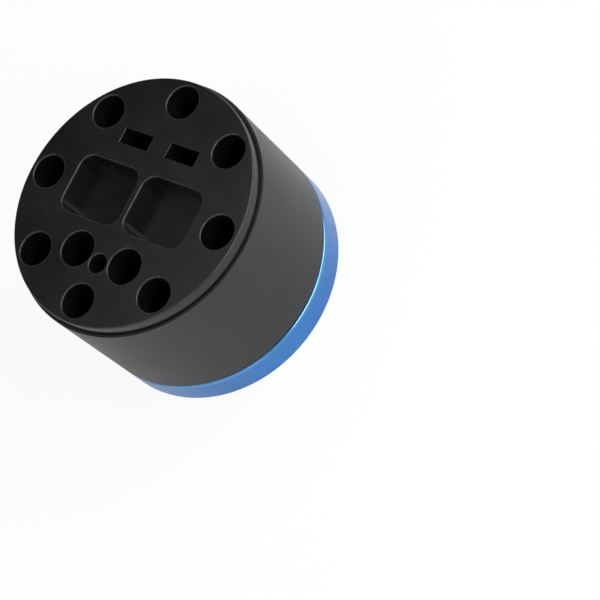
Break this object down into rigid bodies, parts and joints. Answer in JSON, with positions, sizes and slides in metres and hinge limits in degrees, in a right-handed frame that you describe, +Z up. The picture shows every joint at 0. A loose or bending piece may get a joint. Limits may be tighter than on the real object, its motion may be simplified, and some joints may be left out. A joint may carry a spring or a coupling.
{
  "type": "revolving tool holder",
  "caption": "Revolving desktop tool holder: a black drum with round holes, slots and shallow trays in its face, turning on a ball bearing in a blue anodised base.",
  "frame": {"origin": "middle of the underside of the grip pad, on the drum's axis", "axes": "+Z up along the drum's axis, +X from tray to tray, +Y from the trays towards the two slots"},
  "size_m": [0.08, 0.08, 0.0546],
  "materials": {
    "blue_anodised": "bead blasted and anodised blue",
    "black_anodised": "bead blasted and anodised black",
    "black_moulding": "moulded, fine satin",
    "floor_moulding": "moulded, matte",
    "silicone": "matte silicone",
    "bearing_steel": "ground and polished bearing steel",
    "shield_steel": "pressed sheet",
    "nylon": "natural nylon",
    "zinc_steel": "zinc plated"
  },
  "bodies": {
    "base": {"base_plate": "blue_anodised", "grip_pad": "silicone", "bearing_outer_ring": "bearing_steel", "bearing_shield_upper": "shield_steel", "bearing_shield_lower": "shield_steel"},
    "drum": {"tool_insert": "black_moulding", "outer_sleeve": "black_anodised", "turntable": "floor_moulding", "bearing_inner_ring": "bearing_steel", "retaining_washer": "zinc_steel", "retaining_screw": "zinc_steel", "case_screw_1": "zinc_steel", "case_screw_2": "zinc_steel", "case_screw_3": "zinc_steel", "case_screw_4": "zinc_steel"},
    "cage": {"bearing_cage": "nylon"},
    "ball_1": {"bearing_ball_1": "bearing_steel"},
    "ball_2": {"bearing_ball_2": "bearing_steel"},
    "ball_3": {"bearing_ball_3": "bearing_steel"},
    "ball_4": {"bearing_ball_4": "bearing_steel"},
    "ball_5": {"bearing_ball_5": "bearing_steel"},
    "ball_6": {"bearing_ball_6": "bearing_steel"},
    "ball_7": {"bearing_ball_7": "bearing_steel"}
  },
  "joints": [
    {"name": "drum_spin", "type": "hinge", "parent": "base", "child": "drum", "pos_m": [0, 0, 0.0093], "axis": [0, 0, 1], "continuous": true},
    {"name": "cage_spin", "type": "hinge", "parent": "base", "child": "cage", "pos_m": [0, 0, 0.0093], "axis": [0, 0, 1], "continuous": true},
    {"name": "ball_1_spin", "type": "hinge", "parent": "cage", "child": "ball_1", "pos_m": [0.0075, 0, 0.0093], "axis": [0, 0, 1], "continuous": true},
    {"name": "ball_2_spin", "type": "hinge", "parent": "cage", "child": "ball_2", "pos_m": [0.00468, 0.00586, 0.0093], "axis": [0, 0, 1], "continuous": true},
    {"name": "ball_3_spin", "type": "hinge", "parent": "cage", "child": "ball_3", "pos_m": [-0.00167, 0.00731, 0.0093], "axis": [0, 0, 1], "continuous": true},
    {"name": "ball_4_spin", "type": "hinge", "parent": "cage", "child": "ball_4", "pos_m": [-0.00676, 0.00325, 0.0093], "axis": [0, 0, 1], "continuous": true},
    {"name": "ball_5_spin", "type": "hinge", "parent": "cage", "child": "ball_5", "pos_m": [-0.00676, -0.00325, 0.0093], "axis": [0, 0, 1], "continuous": true},
    {"name": "ball_6_spin", "type": "hinge", "parent": "cage", "child": "ball_6", "pos_m": [-0.00167, -0.00731, 0.0093], "axis": [0, 0, 1], "continuous": true},
    {"name": "ball_7_spin", "type": "hinge", "parent": "cage", "child": "ball_7", "pos_m": [0.00468, -0.00586, 0.0093], "axis": [0, 0, 1], "continuous": true}
  ],
  "couplings": [
    {"joint": "cage_spin", "follows": "drum_spin", "ratio": 0.3677},
    {"joint": "ball_1_spin", "follows": "drum_spin", "ratio": -1.7573},
    {"joint": "ball_2_spin", "follows": "drum_spin", "ratio": -1.7573},
    {"joint": "ball_3_spin", "follows": "drum_spin", "ratio": -1.7573},
    {"joint": "ball_4_spin", "follows": "drum_spin", "ratio": -1.7573},
    {"joint": "ball_5_spin", "follows": "drum_spin", "ratio": -1.7573},
    {"joint": "ball_6_spin", "follows": "drum_spin", "ratio": -1.7573},
    {"joint": "ball_7_spin", "follows": "drum_spin", "ratio": -1.7573}
  ]
}
